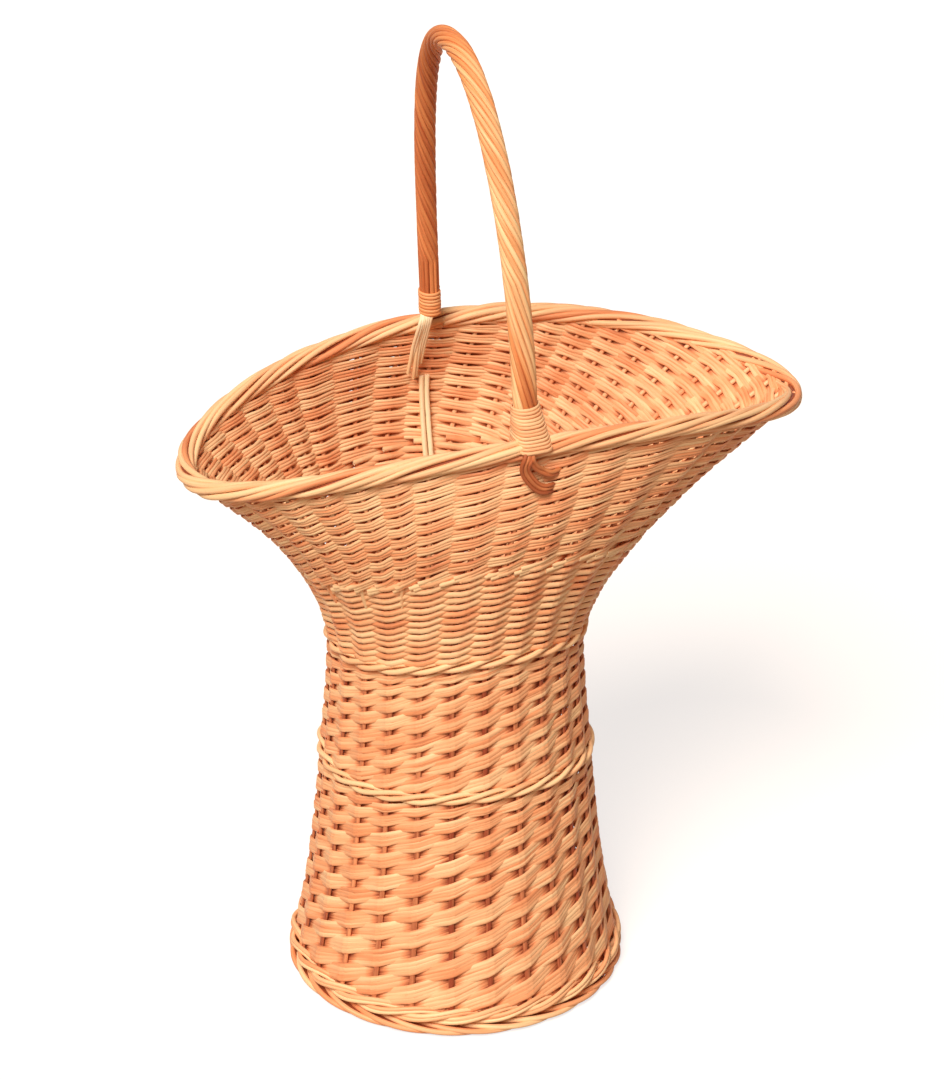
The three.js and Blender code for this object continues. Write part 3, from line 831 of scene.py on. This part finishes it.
# the back binding is painted darker, as painted shade on the back foot
backBinding = {"loops": 7, "from": 74, "pitch": 2.6, "reach": 7.3, "widen": 0, "stretch": 0,
               "out": 0, "square": 0, "tone": 0.45, "finish": "handleWillow"}
bindingStrip = {"width": 1.3, "thick": 0.75, "stepsEach": 28, "loopLength": 60, "reachWobble": (0.15, 200),
                "toneWobble": (0.15, 300)}


def windBinding(name, node, binding, fromBack):
    steps = np.arange(binding["loops"] * bindingStrip["stepsEach"] + 1) / bindingStrip["stepsEach"]
    wound = steps * bindingStrip["loopLength"]
    distance = binding["from"] + binding["pitch"] * steps
    if fromBack:
        distance = curveLength - distance
    low = 1 - steps / binding["loops"]  # the lower loops are squarer and reach out over the border
    roundness = 1 - binding["square"] * low
    point, sideways, upward = onHandle(distance)
    across, ahead = np.cos(turn * steps), np.sin(turn * steps)
    across = np.sign(across) * np.abs(across) ** roundness * (1 + binding["widen"] * low)
    ahead = np.sign(ahead) * np.abs(ahead) ** roundness * (1 + binding["stretch"] * low)
    facing = sideways * across[:, None] + upward * ahead[:, None]
    path = point + facing * (binding["reach"] + wobble(wound, *bindingStrip["reachWobble"]))[:, None]
    path[:, 1] += binding["out"] * low
    tone = binding["tone"] + wobble(wound, *bindingStrip["toneWobble"])
    rod = makeRod(path, facing, bindingStrip["width"], tone, bindingStrip["thick"])
    layRods(name, [rod], binding["finish"], [node])


windBinding("front_binding_wrap", "front_binding", frontBinding, False)
windBinding("back_binding_wrap", "back_binding", backBinding, True)
print("handle feet bound")

# Rod ends at the handle's feet: over the border in front, down inside at the back
frontEnds = {
    "outer": {"rods": 3, "path": [(-15, -106, 461), (-18.3, -114, 457), (-21, -118, 452),
                                  (-22.4, -117, 447), (-21.4, -115.4, 441.2), (-18.2, -114.6, 435.4),
                                  (-14, -114.4, 430), (-9.2, -114.2, 426.6), (-3.9, -113, 425.6),
                                  (3.4, -107, 424)]},
    "inner": {"rods": 2, "path": [(-14, -108, 460), (-17.5, -115.5, 456.5), (-18.4, -118, 452),
                                  (-16.8, -117.2, 448), (-13.4, -116, 443.6), (-8.7, -114.8, 440),
                                  (-3.4, -113.9, 437), (2.4, -111.2, 436), (8.1, -106, 435)]},
    "apart": 2.5, "radius": 1.45, "steps": 60, "wobble": (0.5, 40), "tones": (0.2, 0.8), "leastTilt": 1e-3,
}
backEnds = {"rods": 6, "radius": 1.3, "steps": 24, "heights": (470.5, 463, 443, 421),
            "spreads": (1.5, 1.7, 1.9), "asides": (-6, -8.2, -9.5),
            "topReach": 5.6, "topFrom": 180, "topTo": 264, "outOfLeg": -5.2,
            "inside": 7.5, "furtherIn": (0, 1.5), "uneven": (-9, 6), "tones": (0.0, 0.3), "tipTone": 0.5}
backLeg = {"top": 415, "bottom": 352, "rods": 2, "apart": 4.2, "radius": 1.9, "inside": 5.2, "aside": -1,
           "steps": 30, "wobble": (0.3, 80), "tones": (0.0, 0.3)}
inwards = (0.0, -1.0, 0.0)  # at the back of the mouth


def smoothPath(points, count):
    points = np.array(points, float)
    ends = np.vstack([2 * points[0] - points[1], points, 2 * points[-1] - points[-2]])
    place = np.linspace(0, len(points) - 1 - 1e-6, count)
    i = place.astype(int)
    u = (place - i)[:, None]
    p0, p1, p2, p3 = ends[i], ends[i + 1], ends[i + 2], ends[i + 3]
    bend = 2 * p0 - 5 * p1 + 4 * p2 - p3
    sway = 3 * p1 - p0 - 3 * p2 + p3
    return 0.5 * (2 * p1 + (p2 - p0) * u + bend * u**2 + sway * u**3)


def tuckFrontEnds():
    steps = frontEnds["steps"]
    rods = []
    for bundle in (frontEnds["outer"], frontEnds["inner"]):
        middle = smoothPath(bundle["path"], steps)
        along = np.gradient(middle, axis=0)
        tilt = -along[:, 2] + frontEnds["leastTilt"]
        across = unit(np.stack([tilt, np.zeros(steps), along[:, 0]], axis=-1))
        facing = np.cross(unit(along), across)
        for number in range(bundle["rods"]):
            path = middle + across * (number - (bundle["rods"] - 1) / 2) * frontEnds["apart"]
            path[:, 1] += wobble(np.arange(float(steps)), *frontEnds["wobble"])
            rods.append(makeRod(path, facing, frontEnds["radius"], rng.uniform(*frontEnds["tones"])))
    layRods("front_tucked_ends", rods, "brownWillow")


def hangBackEnds():
    tops = np.radians(np.linspace(backEnds["topFrom"], backEnds["topTo"], backEnds["rods"]))
    nearWall = wallAt(math.pi / 2, backEnds["heights"][-1])[1] - backEnds["inside"]
    nearLeg = handle["half"] + backEnds["outOfLeg"]
    facing = np.tile(inwards, (backEnds["steps"], 1))
    tipShare = np.linspace(0, 1, backEnds["steps"])
    rods = []
    for number, top in enumerate(tops):
        order = number - (backEnds["rods"] - 1) / 2
        x = [backEnds["topReach"] * math.cos(top)]  # starts under the binding
        x += [aside + order * spread for aside, spread in zip(backEnds["asides"], backEnds["spreads"])]
        y = [handle["half"] + backEnds["topReach"] * math.sin(top), nearLeg, 0.5 * (nearLeg + nearWall),
             nearWall - rng.uniform(*backEnds["furtherIn"])]
        z = np.array(backEnds["heights"], float)
        z[-1] -= rng.uniform(*backEnds["uneven"])
        path = smoothPath(np.stack([handle["shift"] + np.array(x), y, z], axis=-1), backEnds["steps"])
        tone = rng.uniform(*backEnds["tones"]) + backEnds["tipTone"] * tipShare**2
        rods.append(makeRod(path, facing, backEnds["radius"], tone))
    layRods("back_hanging_ends", rods, "freshWillow")


def standBackLeg():
    height = np.linspace(backLeg["top"], backLeg["bottom"], backLeg["steps"])
    y = wallAt(math.pi / 2, height)[:, 1] - backLeg["inside"]
    facing = np.tile(inwards, (backLeg["steps"], 1))
    rods = []
    for number in range(backLeg["rods"]):
        x = handle["shift"] + backLeg["aside"] + (number - (backLeg["rods"] - 1) / 2) * backLeg["apart"]
        path = np.stack([x + wobble(height, *backLeg["wobble"]), y, height], axis=-1)
        rods.append(makeRod(path, facing, backLeg["radius"], rng.uniform(*backLeg["tones"])))
    layRods("back_leg_rods", rods, "freshWillow")


tuckFrontEnds()
hangBackEnds()
standBackLeg()
print("rod ends tucked in")

# Floor, light and camera, in metres
studio = {"floor": 10.0, "floorColor": (0.42, 0.35, 0.29), "floorRoughness": 0.9, "floorLift": 0.74,
          "worldColor": (1.0, 0.72, 0.53), "worldLevel": 0.22, "keyLevel": 3.9, "keySpread": 26,
          "keyFrom": (-0.425, -0.505, 0.75)}
view = {"target": (-0.029, 0, 0.33), "distance": 2.8, "azimuth": -20.1, "elevation": 27.5, "lens": 133.4,
        "shiftX": 0.0158, "shiftY": 0.0075}
white = (1, 1, 1, 1)


def addBackgroundRays(tree):  # 1 where the floor or the world is seen, 0 where it only lights
    rays = tree.nodes.new("ShaderNodeLightPath").outputs
    mirrored = addMath(tree, "MAXIMUM", rays["Is Glossy Ray"], rays["Is Transmission Ray"])
    return addMath(tree, "MAXIMUM", rays["Is Camera Ray"], mirrored)


def makeFloor():
    bpy.ops.object.select_all(action="DESELECT")
    bpy.ops.mesh.primitive_plane_add(size=studio["floor"], location=(0, 0, 0))
    floor = bpy.context.object
    floor.name = "studio_floor"
    material, tree, shader = newMaterial("studioFloor")
    shader.inputs["Base Color"].default_value = (*studio["floorColor"], 1)
    shader.inputs["Roughness"].default_value = studio["floorRoughness"]
    shader.inputs["Specular IOR Level"].default_value = 0.0
    shader.inputs["Emission Color"].default_value = white
    lift = addMath(tree, "MULTIPLY", addBackgroundRays(tree), studio["floorLift"])
    tree.links.new(lift, shader.inputs["Emission Strength"])
    floor.data.materials.append(material)


def makeKeyLight():
    lamp = bpy.data.lights.new("key", "SUN")
    lamp.energy = studio["keyLevel"]
    lamp.angle = math.radians(studio["keySpread"])
    light = bpy.data.objects.new("key", lamp)
    light.rotation_euler = Vector(studio["keyFrom"]).to_track_quat("Z", "Y").to_euler()
    bpy.context.scene.collection.objects.link(light)


def makeWorld():
    world = bpy.data.worlds.new("studio")
    bpy.context.scene.world = world
    world.use_nodes = True
    tree = world.node_tree
    background = tree.nodes["Background"]
    seen = addBackgroundRays(tree)
    level = tree.nodes.new("ShaderNodeMapRange")
    level.inputs["To Min"].default_value = studio["worldLevel"]
    level.inputs["To Max"].default_value = 1.0
    tree.links.new(seen, level.inputs["Value"])
    tree.links.new(level.outputs[0], background.inputs["Strength"])
    tint = addMix(tree, "MIX", seen, (*studio["worldColor"], 1), white)
    tree.links.new(tint, background.inputs["Color"])


def makeCamera():
    azimuth, elevation = math.radians(view["azimuth"]), math.radians(view["elevation"])
    level = math.cos(elevation)
    back = Vector((math.sin(azimuth) * level, -math.cos(azimuth) * level, math.sin(elevation)))
    lens = bpy.data.cameras.new("photoView")
    lens.lens = view["lens"]
    lens.shift_x = view["shiftX"]
    lens.shift_y = view["shiftY"]
    camera = bpy.data.objects.new("photoView", lens)
    camera.location = Vector(view["target"]) + back * view["distance"]
    camera.rotation_euler = back.to_track_quat("Z", "Y").to_euler()
    bpy.context.scene.collection.objects.link(camera)
    bpy.context.scene.camera = camera


makeFloor()
makeKeyLight()
makeWorld()
makeCamera()
bpy.context.scene.view_settings.view_transform = "Standard"
print("studio ready")
